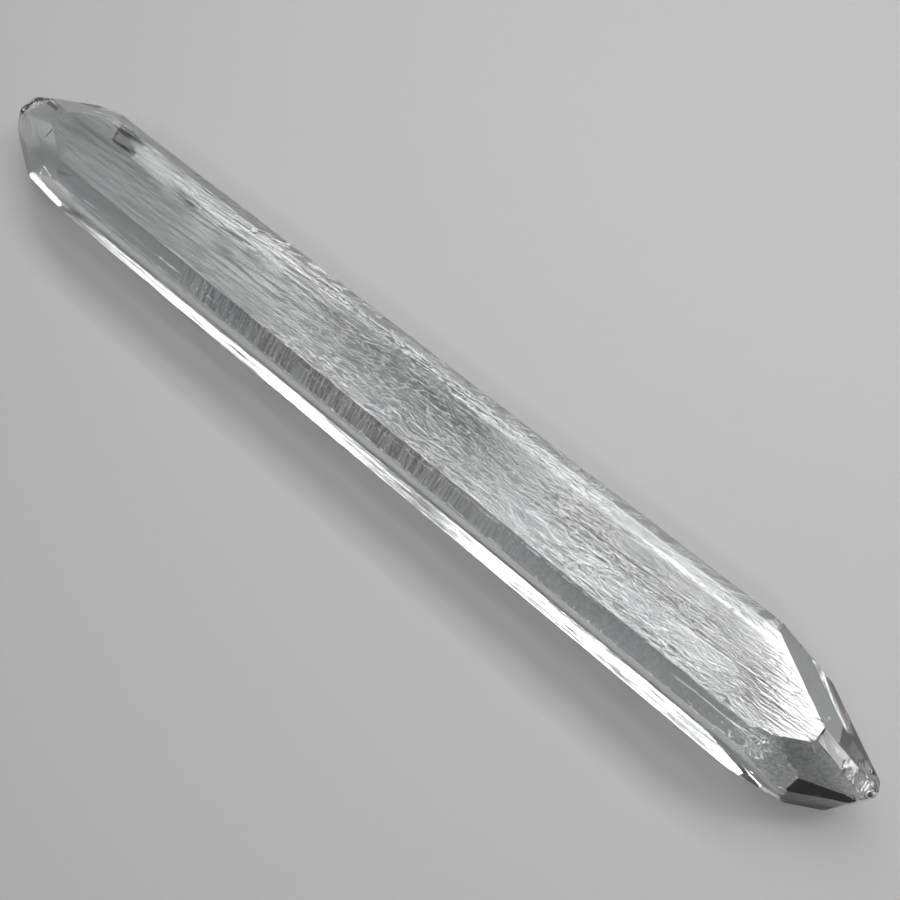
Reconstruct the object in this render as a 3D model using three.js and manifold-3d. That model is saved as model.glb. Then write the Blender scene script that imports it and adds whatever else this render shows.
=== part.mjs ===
// A hydrothermally grown quartz bar: one crystal, lying on one of its two broad basal faces.
// Millimetres, +Z up. X runs along the bar, Y across it, and the origin is on the resting face,
// midway along the length and between the two side faces. The near side is -Y.
import * as THREE from "three";
import { ConvexGeometry } from "three/addons/geometries/ConvexGeometry.js";
import { mergeVertices } from "three/addons/utils/BufferGeometryUtils.js";
import Module from "manifold-3d";

const wasm = await Module();
wasm.setup();

// Driving dimensions
const length = 240;
const height = 26;
const halfWidthLeft = 10.72;
const halfWidthRight = 12.02;
const topBevel = { near: 3.31, far: 2.85 };
const bottomBevel = { near: 3, far: 3.1 };
const growthRelief = 0.25; // how far the growth plateaus stand up from the basal face
const stepDepth = 0.35; // the step on the near rhomb face of the right end

// Slopes of the crystal's faces: the angle between a face's outward normal and straight up
const bevelSlope = 47.7;
const flatRhombSlope = 32.4;
const rhombSlope = 51.8;
const uprightSlope = 90;

const middle = height / 2;
const halfLength = length / 2;
const taper = THREE.MathUtils.radToDeg(Math.atan((halfWidthRight - halfWidthLeft) / length));
const under = (slope) => 180 - slope; // the same face on the lower half of the crystal

function outward(azimuth, slope) {
  const a = THREE.MathUtils.degToRad(azimuth);
  const s = THREE.MathUtils.degToRad(slope);
  return new THREE.Vector3(Math.sin(s) * Math.cos(a), Math.sin(s) * Math.sin(a), Math.cos(s));
}

// A face of the crystal, as the plane that bounds it there
function face(azimuth, slope, through) {
  return new THREE.Plane().setFromNormalAndCoplanarPoint(outward(azimuth, slope), through);
}

// An end face, placed by where its plane meets the bar's centre line
function endFace(azimuth, slope, reach) {
  return face(azimuth, slope, new THREE.Vector3(reach, 0, middle));
}

// One long side: the upright face and the bevels above and below it. side is -1 near, 1 far
function sideFaces(side, topReach, bottomReach) {
  const azimuth = side * (90 + taper);
  const inset = (reach, level) => new THREE.Vector3(-halfLength, side * (halfWidthLeft - reach), level);
  return [
    face(azimuth, uprightSlope, inset(0, middle)),
    face(azimuth, bevelSlope, inset(topReach, height)),
    face(azimuth, under(bevelSlope), inset(bottomReach, 0)),
  ];
}

const barFaces = [
  face(0, 0, new THREE.Vector3(0, 0, height - growthRelief)),
  face(0, under(0), new THREE.Vector3(0, 0, 0)),
  ...sideFaces(-1, topBevel.near, bottomBevel.near),
  ...sideFaces(1, topBevel.far, bottomBevel.far),
];

const nearRhombRight = endFace(-60, rhombSlope, 131.1);

const rightEndFaces = [
  endFace(60, rhombSlope, 124.6),
  endFace(0, flatRhombSlope, 124.9),
  endFace(-60, 75, 127.7), // steep strip under the near rhomb face
  endFace(60, uprightSlope, 124.1),
  endFace(-37.3, 86.6, 121.4), // narrow upright face beside the tip
  endFace(0, uprightSlope, halfLength),
  endFace(-60, under(rhombSlope), 134.2),
  endFace(60, under(rhombSlope), 128.4),
  endFace(0, under(flatRhombSlope), 126.4),
];

const leftEndFaces = [
  endFace(-120, rhombSlope, -124.2),
  endFace(-127, 54.2, -120.3), // vicinal face, nearly level with the near rhomb face
  endFace(-120, 66.6, -122.7), // steeper strip under both
  endFace(120, 42, -132.6), // the far rhomb face, rounded into two
  endFace(120, 56.7, -127.8),
  endFace(180, flatRhombSlope, -120.3),
  endFace(120, uprightSlope, -127.9),
  endFace(180, uprightSlope, -halfLength),
  endFace(-120, under(rhombSlope), -131.7),
  endFace(120, under(rhombSlope), -131.3),
  endFace(180, under(flatRhombSlope), -122.8),
];

// Growth plateaus on the upper basal face: long plates with pointed ends and sloping flanks
const plateaus = [
  { x: -38, y: -5.2, long: 64, wide: 2.6 },
  { x: -14, y: -2.1, long: 52, wide: 2.2 },
  { x: -2, y: 1.6, long: 70, wide: 2.8 },
  { x: 12, y: 5.2, long: 88, wide: 2.4 },
  { x: 22, y: -5.6, long: 38, wide: 2.4 },
  { x: 44, y: -2.6, long: 46, wide: 2.8 },
  { x: 62, y: -6.1, long: 34, wide: 2.2 },
  { x: 66, y: 1.4, long: 40, wide: 2.6 },
  { x: 84, y: -3.2, long: 22, wide: 2.4 },
];

// Shell-shaped bruises, each by its middle on the surface and that surface's outward normal
const bruises = [
  { at: [98.6, -9.2, 24.4], azimuth: -74, slope: 50, downhill: 3.2, across: 6.4, deep: 0.9 },
  { at: [118.1, -2.1, 17.4], azimuth: 0, slope: 32.4, downhill: 4.6, across: 3.6, deep: 0.7 },
  { at: [-116, 2.2, 15.8], azimuth: 160, slope: 38, downhill: 8, across: 4.6, deep: 1 },
];

// The closed body inside a set of faces, from each corner where three of them meet
function bodyWithin(faces) {
  const tolerance = 1e-6;
  const corners = [];
  for (let i = 0; i < faces.length; i += 1) {
    for (let j = i + 1; j < faces.length; j += 1) {
      for (let k = j + 1; k < faces.length; k += 1) {
        const corner = meetingPoint(faces[i], faces[j], faces[k]);
        const isInside = corner && faces.every((other) => other.distanceToPoint(corner) < tolerance);
        if (isInside && corners.every((other) => other.distanceTo(corner) > tolerance)) {
          corners.push(corner);
        }
      }
    }
  }
  return new ConvexGeometry(corners);
}

function meetingPoint(a, b, c) {
  const bc = new THREE.Vector3().crossVectors(b.normal, c.normal);
  const ca = new THREE.Vector3().crossVectors(c.normal, a.normal);
  const ab = new THREE.Vector3().crossVectors(a.normal, b.normal);
  const determinant = a.normal.dot(bc);
  if (Math.abs(determinant) < 1e-9) return null;
  return bc
    .multiplyScalar(-a.constant)
    .addScaledVector(ca, -b.constant)
    .addScaledVector(ab, -c.constant)
    .divideScalar(determinant);
}

function plateauBody({ x, y, long, wide }) {
  const flankRun = 3 * growthRelief;
  const outline = (grow, level) => {
    const halfLong = long / 2 + 4 * grow;
    const halfWide = wide / 2 + grow;
    const shoulder = halfLong - Math.sqrt(3) * halfWide;
    return [
      new THREE.Vector3(x - halfLong, y, level),
      new THREE.Vector3(x - shoulder, y - halfWide, level),
      new THREE.Vector3(x + shoulder, y - halfWide, level),
      new THREE.Vector3(x + halfLong, y, level),
      new THREE.Vector3(x + shoulder, y + halfWide, level),
      new THREE.Vector3(x - shoulder, y + halfWide, level),
    ];
  };
  return new ConvexGeometry([...outline(flankRun, height - 3 * growthRelief), ...outline(0, height)]);
}

// The flattened ball that leaves a bruise. Its centre stands outside the surface, so that only
// a shallow cap of it reaches in.
function bruiseBody({ at, azimuth, slope, downhill, across, deep }) {
  const standOff = 0.6; // of the ball's own depth
  const capShare = Math.sqrt(1 - standOff ** 2);
  const ballDepth = deep / (1 - standOff);
  const ball = new THREE.IcosahedronGeometry(1, 4);
  ball.scale(downhill / 2 / capShare, across / 2 / capShare, ballDepth);
  ball.translate(0, 0, standOff * ballDepth);
  ball.rotateY(THREE.MathUtils.degToRad(slope));
  ball.rotateZ(THREE.MathUtils.degToRad(azimuth));
  ball.translate(...at);
  return ball;
}

function toSolid(geometry) {
  const bare = new THREE.BufferGeometry();
  bare.setAttribute("position", geometry.getAttribute("position"));
  const merged = mergeVertices(bare, 1e-5);
  const mesh = new wasm.Mesh({
    numProp: 3,
    vertProperties: new Float32Array(merged.getAttribute("position").array),
    triVerts: new Uint32Array(merged.index.array),
  });
  return new wasm.Manifold(mesh);
}

function toGeometry(solid) {
  const mesh = solid.getMesh();
  const geometry = new THREE.BufferGeometry();
  geometry.setAttribute("position", new THREE.BufferAttribute(mesh.vertProperties, 3));
  geometry.setIndex(new THREE.BufferAttribute(mesh.triVerts, 1));
  geometry.computeVertexNormals();
  return geometry;
}

// The whole crystal. The near rhomb face of the right end has two levels: it lies stepDepth
// deeper past an upright riser and past a line beside the middle face.
function crystalSolid() {
  const otherFaces = [...barFaces, ...rightEndFaces, ...leftEndFaces];
  const deeper = nearRhombRight.clone().translate(outward(-60, rhombSlope).multiplyScalar(-stepDepth));
  const stepFaces = [endFace(-60, uprightSlope, 119.3), endFace(0, uprightSlope, 106.1)];
  let solid = toSolid(bodyWithin([...otherFaces, deeper]));
  solid = solid.add(toSolid(bodyWithin([...otherFaces, nearRhombRight, ...stepFaces])));
  for (const plateau of plateaus) solid = solid.add(toSolid(plateauBody(plateau)));
  for (const bruise of bruises) solid = solid.subtract(toSolid(bruiseBody(bruise)));
  return solid;
}

const quartz = new THREE.MeshStandardMaterial({ color: 0xdfe5e6, roughness: 0.05, metalness: 0 });
const crystal = new THREE.Mesh(toGeometry(crystalSolid()), quartz);
crystal.name = "crystal";

const part = new THREE.Group();
part.add(crystal);

export default part;
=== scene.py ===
import math
import random
import bpy
from mathutils import Matrix, Vector


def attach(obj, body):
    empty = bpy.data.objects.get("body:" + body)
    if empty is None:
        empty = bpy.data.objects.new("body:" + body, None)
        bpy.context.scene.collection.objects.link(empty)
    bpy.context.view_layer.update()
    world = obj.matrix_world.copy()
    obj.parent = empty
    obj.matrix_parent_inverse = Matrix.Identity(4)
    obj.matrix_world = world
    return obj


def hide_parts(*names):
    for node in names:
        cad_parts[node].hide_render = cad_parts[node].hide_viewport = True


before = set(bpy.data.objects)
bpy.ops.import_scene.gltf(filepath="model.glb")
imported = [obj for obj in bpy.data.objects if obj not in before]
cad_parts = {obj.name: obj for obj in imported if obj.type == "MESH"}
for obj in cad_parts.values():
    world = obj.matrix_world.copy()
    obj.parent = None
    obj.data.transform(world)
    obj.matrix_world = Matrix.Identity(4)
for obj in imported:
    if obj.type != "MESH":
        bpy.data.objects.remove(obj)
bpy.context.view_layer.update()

print("frame loaded")

mm = 0.001
cutTolerance = 1e-7  # metres: any more leaves thin gaps beside a cut


def deselectAll():
    bpy.ops.object.select_all(action="DESELECT")


def faceNormal(azimuth, slope):
    a = math.radians(azimuth)
    s = math.radians(slope)
    return Vector((math.sin(s) * math.cos(a), math.sin(s) * math.sin(a), math.cos(s)))


# Millimetres and degrees. An end face is given by the azimuth and slope of its outward normal,
# and by where its plane crosses the bar's centre line
crystalValues = {
    "length": 240,
    "width": 24,
    "height": 26,
    "spareWidth": 2,
    "topLevel": 25.97,
    "halfWidths": (10.72, 12.02),
    "topBevels": {-1: 3.31, 1: 2.85},
    "bottomBevels": {-1: 3.0, 1: 3.1},
    "bevelSlope": 47.7,
    "nearRhomb": (-60, 51.8, 131.1),
    "terraceDrop": 0.35,
    "terraceLimits": [(-60, 90, 119.3), (0, 90, 106.1), (76.8, 90, 88.0)],
    "rightEnd": [
        (60, 51.8, 124.6),  # far rhomb face
        (0, 32.4, 124.9),  # flat middle face
        (-60, 75, 127.7),  # steep strip under the near rhomb face
        (60, 90, 124.1),  # upright far face
        (-37.3, 86.6, 121.4),  # narrow upright face beside the tip
        (-60, 128.2, 134.2),  # the three faces underneath
        (60, 128.2, 128.4),
        (0, 147.6, 126.4),
    ],
    "leftEnd": [
        (-120, 51.8, -124.2),  # near rhomb face
        (-127, 54.2, -120.3),  # its nearly level neighbour
        (-120, 66.6, -122.7),  # steeper strip under both
        (120, 42, -132.6),  # the far rhomb face, rounded into two
        (120, 56.7, -127.8),
        (180, 32.4, -120.3),  # flat middle face
        (120, 90, -127.9),  # upright far face
        (-120, 128.2, -131.7),  # the three faces underneath
        (120, 128.2, -131.3),
        (180, 147.6, -122.8),
    ],
    "ledgeSize": 60,
    "ledgeAt": (110, -10, 13),
    "mergeWithin": 0.002,
    "flatWithin": 0.5,
    "ridgeLength": 2,
    "ridgeAngle": 0.3,  # radians
    "edgeSoftness": 0.11,
    "edgeSegments": 2,
}


def cutFace(azimuth, slope, through, **side):
    bpy.ops.mesh.select_all(action="SELECT")
    bpy.ops.mesh.bisect(
        plane_co=through * mm,
        plane_no=faceNormal(azimuth, slope),
        use_fill=True,
        threshold=cutTolerance,
        **side,
    )


def cutBar(name, endFaces, v):
    deselectAll()
    bpy.ops.mesh.primitive_cube_add(
        size=1,
        location=(0, 0, v["height"] / 2 * mm),
        scale=(v["length"] * mm, (v["width"] + v["spareWidth"]) * mm, v["height"] * mm),
    )
    bar = bpy.context.object
    bar.name = name
    bpy.ops.object.transform_apply(location=True, rotation=True, scale=True)
    bpy.ops.object.mode_set(mode="EDIT")
    cutFace(0, 0, Vector((0, 0, v["topLevel"])), clear_outer=True)
    left, right = v["halfWidths"]
    taper = math.degrees(math.atan((right - left) / v["length"]))
    start = -v["length"] / 2
    for side in (-1, 1):
        azimuth = side * (90 + taper)
        topEdge = left - v["topBevels"][side]
        bottomEdge = left - v["bottomBevels"][side]
        sideFaces = (
            (90, left, v["height"] / 2),
            (v["bevelSlope"], topEdge, v["height"]),
            (180 - v["bevelSlope"], bottomEdge, 0),
        )
        for slope, edge, level in sideFaces:
            cutFace(azimuth, slope, Vector((start, side * edge, level)), clear_outer=True)
    for azimuth, slope, reach in endFaces:
        cutFace(azimuth, slope, Vector((reach, 0, v["height"] / 2)), clear_outer=True)
    bpy.ops.object.mode_set(mode="OBJECT")
    return bar


# A block standing on the outer side of two planes, for taking a step down out of an end face
def cutLedge(v, floorPlane, limitPlane):
    deselectAll()
    bpy.ops.mesh.primitive_cube_add(size=v["ledgeSize"] * mm, location=[x * mm for x in v["ledgeAt"]])
    ledge = bpy.context.object
    ledge.name = "ledge"
    bpy.ops.object.transform_apply(location=True, rotation=True, scale=True)
    bpy.ops.object.mode_set(mode="EDIT")
    for azimuth, slope, reach in (floorPlane, limitPlane):
        cutFace(azimuth, slope, Vector((reach, 0, v["height"] / 2)), clear_inner=True)
    bpy.ops.object.mode_set(mode="OBJECT")
    return ledge


# Cuts one closed shape out of another, or leaves the piece alone where the cut finds no clean answer
def carve(piece, cutter):
    deselectAll()
    uncut = piece.data.copy()
    bpy.context.view_layer.objects.active = piece
    bpy.ops.object.modifier_add(type="BOOLEAN")
    cut = piece.modifiers[-1]
    cut.operation = "DIFFERENCE"
    cut.object = cutter
    bpy.ops.object.modifier_apply(modifier=cut.name)
    bpy.data.objects.remove(cutter)
    if len(piece.data.polygons) == 0:
        piece.data = uncut
    else:
        bpy.data.meshes.remove(uncut)


def growCrystal(v):
    azimuth, slope, reach = v["nearRhomb"]
    body = cutBar("quartzBar", [v["nearRhomb"]] + v["rightEnd"] + v["leftEnd"], v)
    drop = v["terraceDrop"] / math.sin(math.radians(slope)) / math.cos(math.radians(azimuth))
    for limit in v["terraceLimits"]:
        carve(body, cutLedge(v, (azimuth, slope, reach - drop), limit))
    bpy.ops.object.mode_set(mode="EDIT")
    bpy.ops.mesh.select_all(action="SELECT")
    bpy.ops.mesh.remove_doubles(threshold=v["mergeWithin"] * mm)
    bpy.ops.mesh.dissolve_limited(angle_limit=math.radians(v["flatWithin"]))
    bpy.ops.object.mode_set(mode="OBJECT")
    return body


# The long edges between two faces, each with the direction that it points in
def findRidges(piece, v):
    mesh = piece.data
    normals = {}
    for polygon in mesh.polygons:
        for key in polygon.edge_keys:
            normals.setdefault(key, []).append(polygon.normal)
    ridges = []
    for key, pair in normals.items():
        a, b = (mesh.vertices[i].co.copy() for i in key)
        isLong = (b - a).length > v["ridgeLength"] * mm
        if len(pair) == 2 and isLong and pair[0].angle(pair[1]) > v["ridgeAngle"]:
            ridges.append((a, b, (pair[0] + pair[1]).normalized()))
    return ridges


def softenEdges(piece, v):
    bpy.context.view_layer.objects.active = piece
    bpy.ops.object.mode_set(mode="EDIT")
    bpy.ops.mesh.select_all(action="SELECT")
    bpy.ops.mesh.bevel(
        offset=v["edgeSoftness"] * mm,
        segments=v["edgeSegments"],
        affect="EDGES",
        clamp_overlap=True,
    )
    bpy.ops.object.mode_set(mode="OBJECT")


crystal = growCrystal(crystalValues)
ridges = findRidges(crystal, crystalValues)
softenEdges(crystal, crystalValues)
print("crystal faces", len(crystal.data.polygons), "ridges", len(ridges))

# Scoops left by knocks, in millimetres, each on a face given by its normal's azimuth and slope
chipValues = {
    "scoops": [
        {"at": (97.0, -8.7, 25.0), "face": (-76, 40), "downhill": 3.4, "across": 5.4, "deep": 1.4},
        {"at": (94.6, -9.7, 24.8), "face": (-86, 48), "downhill": 1.6, "across": 4.2, "deep": 0.6},
        {"at": (98.0, -10.0, 23.6), "face": (-70, 52), "downhill": 1.8, "across": 3.4, "deep": 0.5},
        {"at": (117.0, -1.2, 17.9), "face": (0, 32.4), "downhill": 6.2, "across": 5.0, "deep": 0.75},
        {"at": (113.4, -2.0, 20.4), "face": (-20, 36), "downhill": 3.2, "across": 3.0, "deep": 0.45},
        {"at": (117.2, 2.6, 15.0), "face": (50, 55), "downhill": 3.2, "across": 2.4, "deep": 0.4},
        {"at": (-116.0, 2.2, 15.8), "face": (160, 38), "downhill": 7.0, "across": 4.2, "deep": 0.8},
        {"at": (-113.2, 4.4, 17.0), "face": (140, 42), "downhill": 3.4, "across": 2.6, "deep": 0.5},
        {"at": (-117.8, 0.2, 13.6), "face": (190, 60), "downhill": 3.4, "across": 3.0, "deep": 0.5},
    ],
    "subdivisions": 4,
    "wideFrom": 4,  # a scoop that is wider than this has one subdivision more
    "standOff": 0.6,  # how far the scooping ball's centre stands outside, of its own depth
    "ripple": 0.2,
    "rippleStretch": (1.1, 1.6, 1000),
    "rippleScale": 1.2,
    "rippleWander": 4,
}

# Scratches, by their two ends, their width and depth, and the face that they are on
scratchValues = {
    "scratches": [
        {"from": (-97.2, -2.2, 25.97), "to": (-98.5, -3.0, 25.97), "size": (0.5, 0.2), "face": (0, 0)},
        {"from": (-98.2, -2.9, 25.9), "to": (-101.7, -5.3, 21.5), "size": (0.4, 0.2), "face": (-120, 51.8)},
        {"from": (78.2, -9.9, 24.5), "to": (84.6, -9.7, 24.75), "size": (0.34, 0.18), "face": (-90, 48)},
        {"from": (83.8, -9.7, 24.75), "to": (89.6, -9.86, 24.55), "size": (0.3, 0.18), "face": (-90, 48)},
        {"from": (88.8, -9.86, 24.55), "to": (95.2, -9.6, 24.85), "size": (0.34, 0.18), "face": (-90, 48)},
        {"from": (-45.6, 7.2, 25.97), "to": (-42.6, 8.8, 25.9), "size": (0.5, 0.16), "face": (0, 0)},
    ],
    "overrun": 0.6,  # the ball's half length and half width, as a share of the scratch's whole ones
    "subdivisions": 3,
    "specks": [(-93.1, 1.1), (-88.0, 4.6), (-85.7, 5.1), (-8.1, 0.2), (-31.0, -3.4), (41.5, 2.2)],
    "speckLevel": 26.02,
    "speckRadius": 0.26,
    "speckStretch": (1.5, 1, 1),
    "speckSubdivisions": 2,
}

# Small nicks at random places along the ridges
nickValues = {
    "count": 110,
    "sizes": (0.12, 0.42),
    "rarity": 3,  # a higher power makes the large ones rarer
    "downhill": (0.7, 1.3),
    "across": (0.8, 2.2),
    "deep": 0.5,
    "subdivisions": 2,
    "seed": 7,
}


def addScoop(s, standOff, subdivisions):
    capShare = math.sqrt(1 - standOff ** 2)
    depth = s["deep"] / (1 - standOff)
    azimuth, slope = s["face"]
    deselectAll()
    bpy.ops.mesh.primitive_ico_sphere_add(
        subdivisions=subdivisions,
        radius=1,
        location=(Vector(s["at"]) + faceNormal(azimuth, slope) * depth * standOff) * mm,
        rotation=(0, math.radians(slope), math.radians(azimuth)),
        scale=(
            s["downhill"] / 2 / capShare * mm,
            s["across"] / 2 / capShare * mm,
            depth * mm,
        ),
    )
    scoop = bpy.context.object
    bpy.ops.object.transform_apply(location=True, rotation=True, scale=True)
    return scoop


def addShellRipples(scoop, s, v):
    deselectAll()
    bpy.ops.object.empty_add(location=Vector(s["at"]) * mm, rotation=(0, math.radians(s["face"][1]), 0))
    pattern = bpy.context.object
    pattern.scale = [size * mm for size in v["rippleStretch"]]
    texture = bpy.data.textures.new("shellRipples", type="WOOD")
    texture.wood_type = "RINGNOISE"
    texture.noise_scale = v["rippleScale"]
    texture.turbulence = v["rippleWander"]
    bpy.context.view_layer.objects.active = scoop
    bpy.ops.object.modifier_add(type="DISPLACE")
    ripples = scoop.modifiers[-1]
    ripples.texture = texture
    ripples.texture_coords = "OBJECT"
    ripples.texture_coords_object = pattern
    ripples.mid_level = 1
    ripples.strength = v["ripple"] * mm
    bpy.ops.object.modifier_apply(modifier=ripples.name)
    bpy.data.objects.remove(pattern)
    bpy.data.textures.remove(texture)


def addNicks(ridges, v):
    chance = random.Random(v["seed"])
    lengths = [(b - a).length for a, b, normal in ridges]
    low, high = v["sizes"]
    nicks = []
    for i in range(v["count"]):
        a, b, normal = chance.choices(ridges, weights=lengths)[0]
        size = low + (high - low) * chance.random() ** v["rarity"]
        azimuth = math.degrees(math.atan2(normal.y, normal.x))
        slope = math.degrees(math.acos(max(-1, min(1, normal.z))))
        nick = {
            "at": a.lerp(b, chance.random()) / mm,
            "face": (azimuth, slope),
            "downhill": size * 2 * chance.uniform(*v["downhill"]),
            "across": size * 2 * chance.uniform(*v["across"]),
            "deep": size * v["deep"],
        }
        nicks.append(addScoop(nick, chipValues["standOff"], v["subdivisions"]))
    return nicks


# A scratch is a ball pulled out between two points, and a speck is a pit in the top
def addScratches(v):
    marks = []
    for s in v["scratches"]:
        normal = faceNormal(*s["face"])
        start = Vector(s["from"])
        run = Vector(s["to"]) - start
        run = run - normal * run.dot(normal)
        across = normal.cross(run).normalized()
        facingUp = Matrix((run.normalized(), across, normal)).transposed()
        wide, deep = s["size"]
        overrun = v["overrun"]
        deselectAll()
        bpy.ops.mesh.primitive_ico_sphere_add(
            subdivisions=v["subdivisions"],
            radius=1,
            location=(start + run / 2 + normal * deep) * mm,
            rotation=facingUp.to_euler(),
            scale=(run.length * overrun * mm, wide * overrun * mm, deep * 2 * mm),
        )
        marks.append(bpy.context.object)
    for x, y in v["specks"]:
        deselectAll()
        bpy.ops.mesh.primitive_ico_sphere_add(
            subdivisions=v["speckSubdivisions"],
            radius=v["speckRadius"] * mm,
            location=Vector((x, y, v["speckLevel"])) * mm,
            scale=v["speckStretch"],
        )
        marks.append(bpy.context.object)
    for mark in marks:
        bpy.context.view_layer.objects.active = mark
        bpy.ops.object.transform_apply(location=True, rotation=True, scale=True)
    return marks


def addChips(v):
    scoops = []
    for s in v["scoops"]:
        isWide = s["across"] > v["wideFrom"]
        scoop = addScoop(s, v["standOff"], v["subdivisions"] + isWide)
        addShellRipples(scoop, s, v)
        scoops.append(scoop)
    return scoops


for mark in addNicks(ridges, nickValues) + addScratches(scratchValues):
    carve(crystal, mark)
for scoop in addChips(chipValues):
    carve(crystal, scoop)
print("chipped faces", len(crystal.data.polygons))

axes = {"x": (1, 0, 0), "y": (0, 1, 0), "z": (0, 0, 1)}

# How finely each set of faces is sliced along one axis, in millimetres
sliceValues = [
    {"faces": "all", "axis": "x", "span": (-120, 120), "pitch": 0.6},
    {"faces": "upperBevels", "axis": "x", "span": (-62, 78), "pitch": 0.3},
    {"faces": "top", "axis": "y", "span": (-9.3, 9.3), "pitch": 0.3},
    {"faces": "bottom", "axis": "y", "span": (-9.3, 9.3), "pitch": 0.9},
    {"faces": "sides", "axis": "z", "span": (3, 23), "pitch": 0.7},
    {"faces": "sides", "axis": "z", "span": (13.1, 13.7), "pitch": 0.15},
    {"faces": "lowerBevels", "axis": "z", "span": (0, 3.6), "pitch": 0.7},
    {"faces": "upperBevels", "axis": "z", "span": (22.4, 26), "pitch": 0.5},
    {"faces": "ends", "axis": "y", "span": (-12, 12), "pitch": 0.55},
]


def facing(azimuth, slope, slack=3):
    normal = faceNormal(azimuth, slope)
    limit = math.cos(math.radians(slack))
    return lambda polygon: polygon.normal.dot(normal) > limit


bevelTilt = 0.673  # how far up or down a bevel's normal points
straight = 0.05  # how little a long face's normal points along the bar


def isBevel(polygon):
    return abs(polygon.normal.x) < straight and abs(abs(polygon.normal.z) - bevelTilt) < 0.03


faceSets = {
    "all": lambda polygon: True,
    "top": facing(0, 0),
    "bottom": facing(0, 180),
    "sides": lambda polygon: abs(polygon.normal.x) < straight and abs(polygon.normal.z) < straight,
    "upperBevels": lambda polygon: isBevel(polygon) and polygon.normal.z > 0,
    "lowerBevels": lambda polygon: isBevel(polygon) and polygon.normal.z < 0,
    "ends": lambda polygon: abs(polygon.normal.x) > 0.2,
}


def pickFaces(piece, test):
    mesh = piece.data
    for part in (mesh.vertices, mesh.edges, mesh.polygons):
        part.foreach_set("select", [False] * len(part))
    for polygon in mesh.polygons:
        polygon.select = test(polygon)


def sliceFaces(piece, v):
    pickFaces(piece, faceSets[v["faces"]])
    bpy.context.view_layer.objects.active = piece
    bpy.ops.object.mode_set(mode="EDIT")
    bpy.ops.mesh.hide(unselected=True)
    direction = axes[v["axis"]]
    start, stop = v["span"]
    count = max(1, round((stop - start) / v["pitch"]))
    for i in range(1, count):
        place = start + (stop - start) * i / count
        bpy.ops.mesh.select_all(action="SELECT")
        bpy.ops.mesh.bisect(
            plane_co=Vector(direction) * place * mm,
            plane_no=direction,
            threshold=cutTolerance,
        )
    bpy.ops.mesh.reveal(select=False)
    bpy.ops.object.mode_set(mode="OBJECT")


for row in sliceValues:
    sliceFaces(crystal, row)
print("sliced faces", len(crystal.data.polygons))

# Growth relief: each row is a pattern that only presses inwards, its depth and stretch in
# millimetres. An area is a region, the share of the depth there, and fades of that share along an
# axis: from, to, share before, share after. A masked row's reach is kept for the material
reliefValues = [
    {
        "name": "topSwell",
        "kind": "clouds",
        "stretch": (34, 8, 5),
        "turn": 3,
        "depth": 0.016,
        "areas": [("top", 1)],
    },
    {
        "name": "topCobbles",
        "kind": "clouds",
        "stretch": (6.5, 0.9, 1),
        "turn": 4,
        "depth": 0.014,
        "areas": [("top", 1, ("x", -35, 15, 0.1, 1), ("x", 58, 84, 1, 0.3), ("y", 1, 5, 1, 0.3))],
        "masked": True,
    },
    {
        "name": "topShingles",
        "kind": "saw",
        "stretch": (40, 1.7, 1e3),
        "turn": 4,
        "depth": 0.045,
        "areas": [("top", 1, ("x", -36, -12, 0, 1), ("y", 3, -4, 0.25, 1), ("x", 62, 90, 1, 0.3))],
        "masked": True,
    },
    # Its mask also places the painted shade along the top's fine streaks
    {
        "name": "topHaze",
        "kind": "clouds",
        "stretch": (8, 1.5, 1),
        "turn": 2,
        "depth": 0.004,
        "areas": [("top", 1, ("x", -50, 10, 1, 0.35))],
        "masked": True,
    },
    # Its mask also places the painted shade between the bars in the material
    {
        "name": "nearBars",
        "kind": "waves",
        "stretch": (2.05, 1e3, 1e3),
        "depth": 0.12,
        "areas": [("nearBevel", 1, ("x", -60, -40, 0, 1), ("x", 8, 50, 1, 0.15))],
        "masked": True,
    },
    {
        "name": "farBars",
        "kind": "waves",
        "stretch": (2.4, 1.5, 1e3),
        "depth": 0.08,
        "areas": [("farBevel", 1, ("x", -30, -12, 0.15, 1))],
    },
    {
        "name": "steps",
        "kind": "clouds",
        "stretch": (3, 3, 3),
        "depth": 0.02,
        "areas": [("farBevel", 1, ("x", -75, -40, 0.2, 1))],
        "masked": True,
    },
    {
        "name": "frost",
        "kind": "cells",
        "stretch": (0.8, 0.8, 0.8),
        "depth": 0.01,
        "areas": [("steepStrip", 1)],
        "masked": True,
    },
    {
        "name": "rust",
        "kind": "clouds",
        "stretch": (3, 3, 3),
        "depth": 0.02,
        "areas": [("farEnd", 1, ("x", 101, 105, 0, 1), ("x", 112, 116, 1, 0), ("z", 14.5, 15.6, 1, 0))],
        "masked": True,
    },
    {
        "name": "sideLines",
        "kind": "clouds",
        "stretch": (26, 5, 1.2),
        "depth": 0.13,
        "areas": [("side", 1, ("x", -40, 25, 1, 0.1))],
        "masked": True,
    },
    {
        "name": "seam",
        "kind": "plain",
        "depth": 0.22,
        "areas": [("seedLine", 1)],
    },
    {
        "name": "bottomSwell",
        "kind": "clouds",
        "stretch": (14, 3, 3),
        "depth": 0.03,
        "areas": [("bottom", 1)],
    },
    # Its mask also places the cloudy painted shade on the ends in the material
    {
        "name": "endMottle",
        "kind": "cells",
        "stretch": (1.5, 1.5, 1.5),
        "depth": 0.007,
        "areas": [("end", 0.25), ("nearRhombs", 0.75), ("nearBevel", 0.45, ("x", 5, 40, 0, 1))],
        "masked": True,
    },
    {
        "name": "endSwell",
        "kind": "clouds",
        "stretch": (5, 5, 5),
        "depth": 0.012,
        "areas": [("end", 1)],
    },
    {
        "name": "chipRough",
        "kind": "cells",
        "stretch": (0.8, 0.8, 0.8),
        "turn": 20,
        "depth": 0.10,
        "areas": [("scoops", 1)],
        "masked": True,
    },
]

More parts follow.
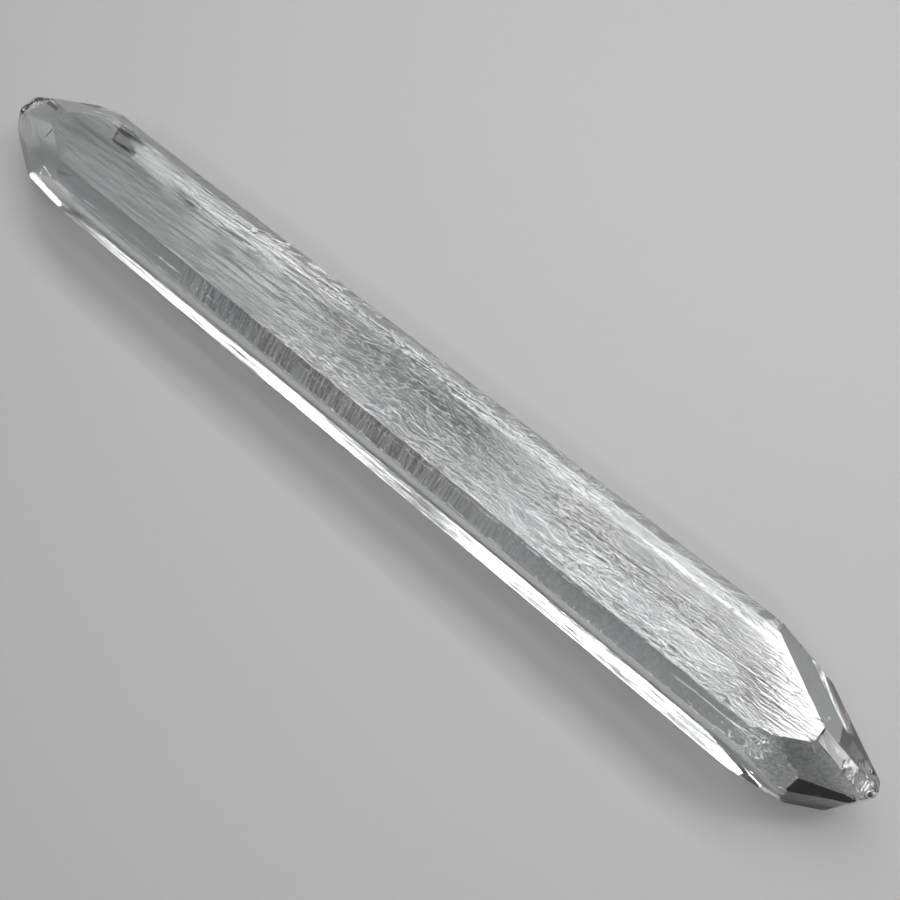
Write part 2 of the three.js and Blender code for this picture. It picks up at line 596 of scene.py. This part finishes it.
# The kinds of pattern: a texture and its settings
bands = {"wood_type": "BANDNOISE", "noise_scale": 0.5, "turbulence": 6}
patternKinds = {
    "clouds": ("CLOUDS", {"noise_scale": 1, "noise_depth": 2}),
    "cells": ("CLOUDS", {"noise_scale": 1, "noise_depth": 1, "noise_basis": "VORONOI_F2_F1"}),
    "waves": ("WOOD", {"noise_basis_2": "SIN", **bands}),
    "saw": ("WOOD", {"noise_basis_2": "SAW", **bands}),
}


def ramp(value, low, high):
    share = max(0, min(1, (value - low) / (high - low)))
    return share * share * (3 - 2 * share)


def onUpperBevel(normal):
    return 0.5 < normal.z < 0.9 and abs(normal.x) < 0.1


def onSide(normal):
    return abs(normal.z) < 0.5 and abs(normal.x) < 0.1


def onEnd(normal):
    return abs(normal.x) > 0.2


flatness = 0.97  # how nearly upright a normal is on the two broad faces
steepStrip = faceNormal(-60, 75)
seedLine = {"level": 13.4, "halfWidth": 0.15}


def nearSeedLine(at):
    return max(0, 1 - abs(at.z - seedLine["level"]) / seedLine["halfWidth"])


# The rough inside of a scoop: near enough to its middle, and far enough below the face it is on
scoopValues = {"reach": 0.62, "spare": 0.4, "below": -0.16, "topLevel": 25.6}
scoopNormals = [faceNormal(*s["face"]) for s in chipValues["scoops"]]


def inScoop(at, v=scoopValues):
    if at.z >= v["topLevel"]:
        return False
    for s, normal in zip(chipValues["scoops"], scoopNormals):
        away = at - Vector(s["at"])
        isNear = away.length < s["across"] * v["reach"] + v["spare"]
        if isNear and away.dot(normal) < v["below"] * s["deep"]:
            return True
    return False


# How fully a vertex is in each region, from its place in millimetres and its normal
regions = {
    "top": lambda at, normal: normal.z > flatness,
    "bottom": lambda at, normal: normal.z < -flatness,
    "nearBevel": lambda at, normal: onUpperBevel(normal) and at.y < 0,
    "farBevel": lambda at, normal: onUpperBevel(normal) and at.y > 0,
    "side": lambda at, normal: onSide(normal),
    "seedLine": lambda at, normal: onSide(normal) * nearSeedLine(at),
    "end": lambda at, normal: onEnd(normal),
    "nearRhombs": lambda at, normal: onEnd(normal) and at.x > 0 and normal.y < -0.5,
    "farEnd": lambda at, normal: onEnd(normal) and at.y > 2 and normal.z > -0.1,
    "steepStrip": lambda at, normal: ramp(normal.dot(steepStrip), 0.97, 0.99),
    "scoops": lambda at, normal: inScoop(at),
}


def reliefShare(areas, at, normal):
    total = 0.0
    for region, share, *fades in areas:
        share = share * regions[region](at, normal)
        if share > 0:
            for axis, low, high, before, after in fades:
                share *= before + (after - before) * ramp(getattr(at, axis), low, high)
            total += share
    return total


def addPattern(v):
    deselectAll()
    bpy.ops.object.empty_add(rotation=(0, 0, math.radians(v.get("turn", 0))))
    pattern = bpy.context.object
    pattern.scale = [s * mm for s in v["stretch"]]
    kind, settings = patternKinds[v["kind"]]
    texture = bpy.data.textures.new(v["name"], type=kind)
    for key, value in settings.items():
        setattr(texture, key, value)
    return pattern, texture


def addRelief(piece, v):
    mesh = piece.data
    shares = [reliefShare(v["areas"], vertex.co / mm, vertex.normal) for vertex in mesh.vertices]
    group = piece.vertex_groups.new(name=v["name"])
    for i, share in enumerate(shares):
        if share > 0:
            group.add([i], share, "REPLACE")
    if v.get("masked"):
        mask = mesh.attributes.new(v["name"] + "Mask", "FLOAT", "POINT")
        mask.data.foreach_set("value", shares)
    isPlain = v["kind"] == "plain"
    if not isPlain:
        pattern, texture = addPattern(v)
    bpy.context.view_layer.objects.active = piece
    bpy.ops.object.modifier_add(type="DISPLACE")
    relief = piece.modifiers[-1]
    relief.vertex_group = v["name"]
    relief.mid_level = 0 if isPlain else 1
    relief.strength = (-v["depth"] if isPlain else v["depth"]) * mm
    if not isPlain:
        relief.texture = texture
        relief.texture_coords = "OBJECT"
        relief.texture_coords_object = pattern
    bpy.ops.object.modifier_apply(modifier=relief.name)
    piece.vertex_groups.remove(piece.vertex_groups[v["name"]])
    if not isPlain:
        bpy.data.objects.remove(pattern)
        bpy.data.textures.remove(texture)


smoothUnder = 28  # degrees between faces


def finishShading(piece):
    deselectAll()
    piece.select_set(True)
    bpy.context.view_layer.objects.active = piece
    bpy.ops.object.shade_smooth_by_angle(angle=math.radians(smoothUnder))
    bpy.ops.object.modifier_add(type="WEIGHTED_NORMAL")
    piece.modifiers[-1].keep_sharp = True
    bpy.ops.object.modifier_apply(modifier=piece.modifiers[-1].name)
    piece.data.name = piece.name


for row in reliefValues:
    addRelief(crystal, row)
finishShading(crystal)
print("triangles", sum(len(p.vertices) - 2 for p in crystal.data.polygons))

quartzValues = {
    "ior": 1.544,
    "absorption": (0.84, 0.86, 0.865),
    "density": 36.0,
    "roughness": 0.0025,
    "haze": 0.17,  # the silky top's extra roughness
    "frost": 0.22,  # and the steep strip's
    "sheenIor": 2.0,
    "sheenRoughness": 0.28,
    # The next two are painted shade in the hollows between the near bevel's bars, brown and cool
    "barShadeTint": (0.34, 0.27, 0.20),
    "coolShadeTint": (0.32, 0.35, 0.40),
    # Cloudy painted shade on the ends, strongest on the right end's near rhomb faces
    "endShadeTint": (0.42, 0.44, 0.45),
    "rustTint": (0.50, 0.24, 0.15),
    # The next two paint shade along the top's fine streaks and growth contours
    "streakShadeTint": (0.62, 0.64, 0.66),
    "streakShadeShare": 0.55,
    "coolSpan": (-26, -34),  # where the bars turn from brown to cool, in millimetres along the bar
    "contourCount": 11,
    "stairHeight": 0.3,  # millimetres
    "frostStairs": 0.25,
    "bumpDepth": 0.1,  # millimetres
}

# Noise that is pulled out along the axes: the sizes are its grain in millimetres
grainValues = {
    "silk": {"sizes": (7, 0.45, 0.8), "turn": 2, "detail": 1},
    "streaks": {"sizes": (7, 0.34, 0.5), "turn": 3, "detail": 1},
    "growth": {"sizes": (9, 1.7, 1.9), "turn": 5, "detail": 1},
    "dashes": {"sizes": (3.4, 0.6, 0.8), "turn": 6, "detail": 0},
    "bars": {"sizes": (0.5, 7, 7), "detail": 1, "roughness": 0.6},
    "farBars": {"sizes": (0.9, 7, 7), "turn": -38, "detail": 1},
    "sideLines": {"sizes": (16, 9, 0.5), "detail": 1},
    "mottle": {"sizes": (0.8, 0.8, 0.8), "detail": 2, "roughness": 0.75},
}

# How much each pattern raises the surface
bumpValues = {
    "topStreaks": 0.13,
    "otherStreaks": 0.03,
    "contours": -0.25,
    "dashes": 0.2,
    "bars": 0.9,
    "stairs": 12.3,
    "sideLines": 0.5,
    "mottle": 0.05,
    "chips": 1.2,
}

# Smooth steps from one value of a pattern or mask to another, with the results at their two ends
fadeValues = {
    "contours": (0.34, 0.5),
    "dashes": (0.45, 0.60),
    "bars": (0.52, 0.62),
    "farBars": (0.42, 0.54),
    "streaksOnTop": (0, 0.3),
    "hazeOnTop": (0.36, 1),
    "haze": (0.3, 0.7, 0.35, 1),
    "sheen": (0.36, 0.62, 0.1, 1),
    # The next four shape painted shade: between the bars, its breaks, on the ends and along the top's
    # streaks
    "shadedHollows": (0.58, 0.44, 0.05, 1),
    "shadedHollowBreaks": (0.35, 0.62, 0.55, 1),
    "clouds": (0.62, 0.38, 0.1, 0.8),
    "shadedStreaks": (0.46, 0.60),
}


def addNode(tree, kind, **settings):
    node = tree.nodes.new("ShaderNode" + kind)
    for key, value in settings.items():
        setattr(node, key, value)
    return node


def calculate(tree, operation, *terms, clamp=False):
    node = addNode(tree, "Math", operation=operation, use_clamp=clamp)
    for socket, term in zip(node.inputs, terms):
        if isinstance(term, (int, float)):
            socket.default_value = term
        else:
            tree.links.new(term, socket)
    return node.outputs[0]


def grain(tree, place, sizes, turn=0, detail=2, roughness=0.5):
    stretch = addNode(tree, "Mapping", vector_type="TEXTURE")
    stretch.inputs["Rotation"].default_value = (0, 0, math.radians(turn))
    stretch.inputs["Scale"].default_value = [s * mm for s in sizes]
    tree.links.new(place, stretch.inputs["Vector"])
    noise = addNode(tree, "TexNoise")
    noise.inputs["Scale"].default_value = 1
    noise.inputs["Detail"].default_value = detail
    noise.inputs["Roughness"].default_value = roughness
    tree.links.new(stretch.outputs[0], noise.inputs["Vector"])
    return noise.outputs["Fac"]


def fade(tree, value, low, high, start=0, end=1):
    node = addNode(tree, "MapRange", interpolation_type="SMOOTHSTEP")
    for name, amount in zip(("From Min", "From Max", "To Min", "To Max"), (low, high, start, end)):
        if isinstance(amount, (int, float)):
            node.inputs[name].default_value = amount
        else:
            tree.links.new(amount, node.inputs[name])
    tree.links.new(value, node.inputs["Value"])
    return node.outputs[0]


def maskOf(tree, name):
    return addNode(tree, "Attribute", attribute_name=name + "Mask").outputs["Fac"]


def masked(tree, value, name):
    return calculate(tree, "MULTIPLY", value, maskOf(tree, name))


# Darkens the colour going into the crystal where the share is high, for the rust and for painted shade
def stainAndShade(tree, colour, share, tint):
    mix = addNode(tree, "Mix", data_type="RGBA")
    mix.inputs[7].default_value = (*tint, 1)
    tree.links.new(share, mix.inputs[0])
    if colour is None:
        mix.inputs[6].default_value = (1, 1, 1, 1)
    else:
        tree.links.new(colour, mix.inputs[6])
    return mix.outputs[2]


# Thin bands round the growth grain, like the contours of a map, for bumps and painted shade
def growthContours(tree, grains, v):
    rings = calculate(tree, "FRACT", calculate(tree, "MULTIPLY", grains["growth"], v["contourCount"]))
    rings = calculate(tree, "ABSOLUTE", calculate(tree, "SUBTRACT", rings, 0.5))
    return masked(tree, fade(tree, rings, *fadeValues["contours"]), "topCobbles")


# Tiny steps up the far bevel in slanting bars, and over the steep strip
def growthStairs(tree, grains, level, v):
    bars = masked(tree, fade(tree, grains["farBars"], *fadeValues["farBars"]), "steps")
    share = calculate(tree, "MULTIPLY_ADD", maskOf(tree, "frost"), v["frostStairs"], bars)
    stairs = calculate(tree, "PINGPONG", calculate(tree, "DIVIDE", level, mm), v["stairHeight"])
    return calculate(tree, "MULTIPLY", stairs, share)


def addBump(tree, shader, grains, contours, level, v):
    onTop = fade(tree, maskOf(tree, "topHaze"), *fadeValues["streaksOnTop"])
    streakShare = calculate(
        tree, "MULTIPLY_ADD", onTop, bumpValues["topStreaks"], bumpValues["otherStreaks"]
    )
    height = calculate(tree, "MULTIPLY", grains["streaks"], streakShare)
    patterns = {
        "contours": contours,
        "dashes": masked(tree, fade(tree, grains["dashes"], *fadeValues["dashes"]), "topShingles"),
        "bars": masked(tree, fade(tree, grains["bars"], *fadeValues["bars"]), "nearBars"),
        "stairs": growthStairs(tree, grains, level, v),
        "sideLines": masked(tree, grains["sideLines"], "sideLines"),
        "mottle": masked(tree, grains["mottle"], "endMottle"),
        "chips": masked(tree, grains["mottle"], "chipRough"),
    }
    for name, pattern in patterns.items():
        height = calculate(tree, "MULTIPLY_ADD", pattern, bumpValues[name], height)
    bump = addNode(tree, "Bump")
    bump.inputs["Strength"].default_value = 1
    bump.inputs["Distance"].default_value = v["bumpDepth"] * mm
    tree.links.new(height, bump.inputs["Height"])
    tree.links.new(bump.outputs[0], shader.inputs["Normal"])


# The left of the top is silky, with a thin sheen, and the chips are white where they broke
def addSilk(tree, shader, silk, v):
    hazeShare = fade(tree, maskOf(tree, "topHaze"), *fadeValues["hazeOnTop"])
    haze = calculate(tree, "MULTIPLY", fade(tree, silk, *fadeValues["haze"]), hazeShare)
    rough = calculate(tree, "MULTIPLY_ADD", haze, v["haze"], v["roughness"])
    rough = calculate(tree, "MULTIPLY_ADD", maskOf(tree, "frost"), v["frost"], rough)
    tree.links.new(rough, shader.inputs["Roughness"])
    sheen = calculate(tree, "MULTIPLY", fade(tree, silk, *fadeValues["sheen"]), hazeShare)
    sheen = calculate(tree, "ADD", sheen, maskOf(tree, "chipRough"), clamp=True)
    tree.links.new(sheen, shader.inputs["Coat Weight"])
    shader.inputs["Coat IOR"].default_value = v["sheenIor"]
    shader.inputs["Coat Roughness"].default_value = v["sheenRoughness"]


# Painted shade in the hollows between the bars, brown on the right and cool on the left, then
# cloudy painted shade on the ends, the rust on the right end's far edge, and painted shade along the top
def addStainsAndShade(tree, shader, grains, contours, along, v):
    # Painted shade in the hollows between the bars, brown on the right and cool on the left
    shadedHollows = masked(tree, fade(tree, grains["bars"], *fadeValues["shadedHollows"]), "nearBars")
    breaks = fade(tree, grains["mottle"], *fadeValues["shadedHollowBreaks"])
    shadedHollows = calculate(tree, "MULTIPLY", shadedHollows, breaks)
    coolFrom, coolTo = v["coolSpan"]
    cool = fade(tree, along, coolFrom * mm, coolTo * mm)
    warm = calculate(tree, "SUBTRACT", 1, cool)
    # Cloudy painted shade on the ends
    clouds = masked(tree, fade(tree, grains["mottle"], *fadeValues["clouds"]), "endMottle")
    # Painted shade along the top's fine streaks and growth contours
    shadedStreaks = masked(tree, fade(tree, grains["silk"], *fadeValues["shadedStreaks"]), "topHaze")
    stainsAndShades = (
        (calculate(tree, "MULTIPLY", shadedHollows, warm), v["barShadeTint"]),
        (calculate(tree, "MULTIPLY", shadedHollows, cool), v["coolShadeTint"]),
        (clouds, v["endShadeTint"]),
        (maskOf(tree, "rust"), v["rustTint"]),
        (calculate(tree, "MULTIPLY", shadedStreaks, v["streakShadeShare"]), v["streakShadeTint"]),
        (calculate(tree, "MULTIPLY", contours, v["streakShadeShare"]), v["streakShadeTint"]),
    )
    colour = None
    for share, tint in stainsAndShades:
        colour = stainAndShade(tree, colour, share, tint)
    tree.links.new(colour, shader.inputs["Base Color"])


def makeQuartz(v):
    material = bpy.data.materials.new("clearQuartz")
    material.use_nodes = True
    tree = material.node_tree
    shader = tree.nodes["Principled BSDF"]
    shader.inputs["IOR"].default_value = v["ior"]
    shader.inputs["Transmission Weight"].default_value = 1
    absorption = addNode(tree, "VolumeAbsorption")
    absorption.inputs["Color"].default_value = (*v["absorption"], 1)
    absorption.inputs["Density"].default_value = v["density"]
    tree.links.new(absorption.outputs[0], tree.nodes["Material Output"].inputs["Volume"])
    place = addNode(tree, "TexCoord").outputs["Object"]
    apart = addNode(tree, "SeparateXYZ")
    tree.links.new(place, apart.inputs[0])
    grains = {name: grain(tree, place, **sizes) for name, sizes in grainValues.items()}
    contours = growthContours(tree, grains, v)
    addBump(tree, shader, grains, contours, apart.outputs["Z"], v)
    addSilk(tree, shader, grains["silk"], v)
    addStainsAndShade(tree, shader, grains, contours, apart.outputs["X"], v)
    return material


crystal.data.materials.clear()
crystal.data.materials.append(makeQuartz(quartzValues))
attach(crystal, "root")
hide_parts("crystal")
print("quartz material added")

# Metres. The far floor glows a little, so that it stays pale in low views
floorValues = {
    "radius": 3.0,
    "sides": 96,
    "gap": 0.05 * mm,
    "shade": 0.23,
    "roughness": 0.9,
    "farGlow": 0.42,
    "glowSpan": (0.15, 1.0),
}


def addFloor(v):
    deselectAll()
    bpy.ops.mesh.primitive_circle_add(
        vertices=v["sides"],
        radius=v["radius"],
        fill_type="NGON",
        location=(0, 0, -v["gap"]),
    )
    floor = bpy.context.object
    floor.name = "floor"
    material = bpy.data.materials.new("paleFloor")
    material.use_nodes = True
    tree = material.node_tree
    shader = tree.nodes["Principled BSDF"]
    shader.inputs["Base Color"].default_value = (*[v["shade"]] * 3, 1)
    shader.inputs["Roughness"].default_value = v["roughness"]
    away = addNode(tree, "VectorMath", operation="LENGTH")
    tree.links.new(addNode(tree, "TexCoord").outputs["Object"], away.inputs[0])
    glow = fade(tree, away.outputs["Value"], *v["glowSpan"], 0, v["farGlow"])
    tree.links.new(glow, shader.inputs["Emission Color"])
    shader.inputs["Emission Strength"].default_value = 1
    floor.data.materials.append(material)


addFloor(floorValues)

# Glowing panels, in metres and degrees, which the camera itself doesn't see. Each lies flat above
# the bar or faces it from an azimuth, elevation and distance, and its edges fade over a share of
# its half size
panelValues = {
    "overPanel": {"at": (0.04, -0.02, 0.43), "size": (0.56, 0.08), "glow": 9, "edge": 0.5},
    "dashPanel": {"at": (-0.03, 0.052, 0.427), "size": (0.44, 0.05), "glow": 13, "edge": 0.2},
    "bandPanel": {"at": (0.05, 0.139, 0.425), "size": (0.28, 0.032), "glow": 13, "edge": 0.5},
    "edgePanel": {"at": (-0.08, 0.181, 0.424), "size": (0.70, 0.046), "glow": 10, "edge": 0.3},
    "backPanel": {"at": (-0.06, 0.25, 0.43), "size": (0.95, 0.05), "glow": 16, "edge": 0.4},
    "cornerPanel": {"at": (0.172, 0.166, 0.422), "turn": -45, "size": (0.11, 0.11), "glow": 26, "edge": 0.3},
    "sparkPanel": {"from": (-68, 61, 0.8), "size": (0.30, 0.10), "glow": 22, "edge": 0.3},
    "frontPanel": {"from": (-90, 27, 0.9), "size": (2.2, 0.30), "glow": 0.45, "edge": 0.5},
    "rightPanel": {"from": (14, 9, 0.9), "size": (0.9, 0.22), "glow": 7, "edge": 0.4},
    "leftPanel": {"from": (184, 15, 0.9), "size": (0.8, 0.40), "glow": 3, "edge": 0.4},
}


# A node group that gives a panel its glow, which fades out towards the edges
def makeSoftGlow():
    group = bpy.data.node_groups.new("softGlow", "ShaderNodeTree")
    for name, way in (("Glow", "INPUT"), ("Edge", "INPUT"), ("Strength", "OUTPUT")):
        group.interface.new_socket(name, in_out=way, socket_type="NodeSocketFloat")
    given = group.nodes.new("NodeGroupInput")
    result = group.nodes.new("NodeGroupOutput")
    apart = addNode(group, "SeparateXYZ")
    group.links.new(addNode(group, "TexCoord").outputs["Object"], apart.inputs[0])
    inner = calculate(group, "MULTIPLY_ADD", given.outputs["Edge"], -0.5, 0.5)
    strength = given.outputs["Glow"]
    for axis in ("X", "Y"):
        fromMiddle = calculate(group, "ABSOLUTE", apart.outputs[axis])
        strength = calculate(group, "MULTIPLY", fade(group, fromMiddle, 0.5, inner), strength)
    group.links.new(strength, result.inputs["Strength"])
    return group


def addPanel(name, v, softGlow):
    deselectAll()
    if "from" in v:
        azimuth, elevation, away = v["from"]
        location = faceNormal(azimuth, 90 - elevation) * away
        rotation = (math.radians(90 - elevation), 0, math.radians(azimuth + 90))
    else:
        location = v["at"]
        rotation = (0, 0, math.radians(v.get("turn", 0)))
    bpy.ops.mesh.primitive_plane_add(size=1, location=location, rotation=rotation)
    panel = bpy.context.object
    panel.name = name
    panel.scale = (*v["size"], 1)
    material = bpy.data.materials.new(name)
    material.use_nodes = True
    tree = material.node_tree
    tree.nodes.clear()
    glow = addNode(tree, "Group", node_tree=softGlow)
    glow.inputs["Glow"].default_value = v["glow"]
    glow.inputs["Edge"].default_value = v["edge"]
    emission = addNode(tree, "Emission")
    tree.links.new(glow.outputs["Strength"], emission.inputs["Strength"])
    tree.links.new(emission.outputs[0], addNode(tree, "OutputMaterial").inputs["Surface"])
    panel.data.materials.append(material)
    panel.visible_camera = False
    panel.visible_shadow = False


softGlow = makeSoftGlow()
for name, v in panelValues.items():
    addPanel(name, v, softGlow)
print("floor and panels", 1 + len(panelValues))

# The sky's brightness at the horizon and above it, and the heights that it changes between
skyValues = {"horizon": 0.53, "above": 0.2, "span": (0.12, 0.35)}


def addSky(v):
    sky = bpy.data.worlds.new("studio")
    sky.use_nodes = True
    tree = sky.node_tree
    apart = addNode(tree, "SeparateXYZ")
    tree.links.new(addNode(tree, "TexCoord").outputs["Generated"], apart.inputs[0])
    shades = addNode(tree, "ValToRGB")
    shades.color_ramp.interpolation = "EASE"
    steps = zip(shades.color_ramp.elements, v["span"], (v["horizon"], v["above"]))
    for element, position, shade in steps:
        element.position = position
        element.color = (shade, shade, shade, 1)
    tree.links.new(apart.outputs["Z"], shades.inputs[0])
    tree.links.new(shades.outputs["Color"], tree.nodes["Background"].inputs["Color"])
    bpy.context.scene.world = sky


addSky(skyValues)
bpy.context.scene.view_settings.view_transform = "Standard"

cameraValues = {
    "at": (0.06965, -0.06165, 0.21772),
    "aim": (0.01602, 0.000416, 0.0130),
    "lens": 42.1,
    "sensor": 36,
    "nearest": 0.01,
}


def addCamera(v):
    deselectAll()
    bpy.ops.object.camera_add(location=v["at"])
    camera = bpy.context.object
    camera.data.lens = v["lens"]
    camera.data.sensor_width = v["sensor"]
    camera.data.clip_start = v["nearest"]
    toward = Vector(v["aim"]) - Vector(v["at"])
    camera.rotation_euler = toward.to_track_quat("-Z", "Y").to_euler()
    bpy.context.scene.camera = camera


addCamera(cameraValues)
print("sky and camera added")
